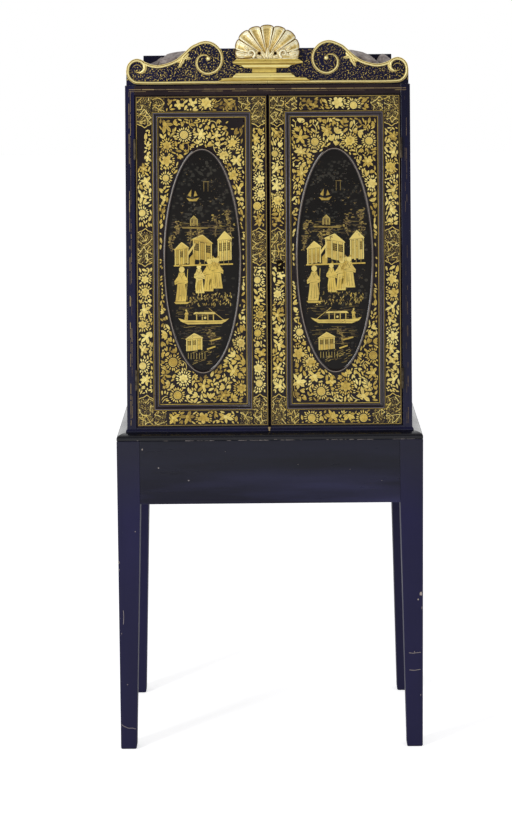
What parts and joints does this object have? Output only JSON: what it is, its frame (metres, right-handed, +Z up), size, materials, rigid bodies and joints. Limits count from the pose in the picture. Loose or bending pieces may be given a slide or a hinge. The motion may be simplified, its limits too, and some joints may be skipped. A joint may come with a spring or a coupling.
{
  "type": "cabinet on stand",
  "caption": "Lacquered cabinet with framed oval-panelled doors, a scrolled crest with a carved shell, and a plain open stand on square tapering legs.",
  "frame": {"origin": "on the floor under the middle of the stand", "axes": "+Z up, the doors face -Y, +X to the viewer's right"},
  "size_m": [0.66, 0.424, 1.5574],
  "materials": {
    "stand_lacquer": "aged blue-black lacquer, satin",
    "case_lacquer": "aged blue-black lacquer with gilt ornament, gloss",
    "door_lacquer": "black lacquer with dense gilt ornament, gloss",
    "moulding_lacquer": "black lacquer moulding, gloss",
    "shelf_lacquer": "dark red lacquer, satin",
    "carved_gilt": "gilt over gesso on carved wood",
    "bare_wood": "bare aged wood, matte",
    "brass": "aged brass",
    "iron": "dark worked iron"
  },
  "bodies": {
    "cabinet": {"apron_back": "stand_lacquer", "apron_front": "stand_lacquer", "apron_left": "stand_lacquer", "apron_right": "stand_lacquer", "case_back": "case_lacquer", "case_bottom": "case_lacquer", "case_side_left": "case_lacquer", "case_side_right": "case_lacquer", "case_top": "case_lacquer", "crest_back_board": "case_lacquer", "crest_board": "case_lacquer", "crest_hood": "bare_wood", "crest_plinth": "carved_gilt", "crest_shell": "carved_gilt", "door_joint_nib": "brass", "foot_bead": "case_lacquer", "hinge_case_leaf_lower_left": "brass", "hinge_case_leaf_lower_right": "brass", "hinge_case_leaf_upper_left": "brass", "hinge_case_leaf_upper_right": "brass", "ledge_moulding_front": "stand_lacquer", "ledge_moulding_left": "stand_lacquer", "ledge_moulding_right": "stand_lacquer", "leg_back_left": "stand_lacquer", "leg_back_right": "stand_lacquer", "leg_front_left": "stand_lacquer", "leg_front_right": "stand_lacquer", "scroll_moulding_left": "carved_gilt", "scroll_moulding_right": "carved_gilt", "shelf_lower": "shelf_lacquer", "shelf_upper": "shelf_lacquer", "stand_top_board": "stand_lacquer", "top_bearer_left": "bare_wood", "top_bearer_right": "bare_wood"},
    "door_left": {"door_left_bottom_rail": "door_lacquer", "door_left_hinge_stile": "door_lacquer", "door_left_meeting_stile": "door_lacquer", "door_left_oval_bead": "moulding_lacquer", "door_left_panel": "door_lacquer", "door_left_panel_moulding": "moulding_lacquer", "door_left_top_rail": "door_lacquer", "hinge_door_leaf_lower_left": "brass", "hinge_door_leaf_upper_left": "brass", "strike_plate": "brass"},
    "door_right": {"door_right_bottom_rail": "door_lacquer", "door_right_hinge_stile": "door_lacquer", "door_right_meeting_stile": "door_lacquer", "door_right_oval_bead": "moulding_lacquer", "door_right_panel": "door_lacquer", "door_right_panel_moulding": "moulding_lacquer", "door_right_top_rail": "door_lacquer", "escutcheon": "brass", "hinge_door_leaf_lower_right": "brass", "hinge_door_leaf_upper_right": "brass", "lock_case": "iron"},
    "lock_bolt": {"lock_bolt": "brass"},
    "flush_bolt_upper": {"flush_bolt_upper": "brass"},
    "flush_bolt_lower": {"flush_bolt_lower": "brass"}
  },
  "joints": [
    {"name": "door_left_hinge", "type": "hinge", "parent": "cabinet", "child": "door_left", "pos_m": [-0.2874, -0.1932, 1.0413], "axis": [0, 0, -1], "range_deg": [0, 170]},
    {"name": "door_right_hinge", "type": "hinge", "parent": "cabinet", "child": "door_right", "pos_m": [0.2874, -0.1932, 1.0413], "axis": [0, 0, 1], "range_deg": [0, 170]},
    {"name": "lock_bolt_slide", "type": "slide", "parent": "door_right", "child": "lock_bolt", "axis": [-1, 0, 0], "range_m": [0, 0.009]},
    {"name": "flush_bolt_upper_slide", "type": "slide", "parent": "door_left", "child": "flush_bolt_upper", "axis": [0, 0, 1], "range_m": [0, 0.006]},
    {"name": "flush_bolt_lower_slide", "type": "slide", "parent": "door_left", "child": "flush_bolt_lower", "axis": [0, 0, -1], "range_m": [0, 0.006]}
  ]
}
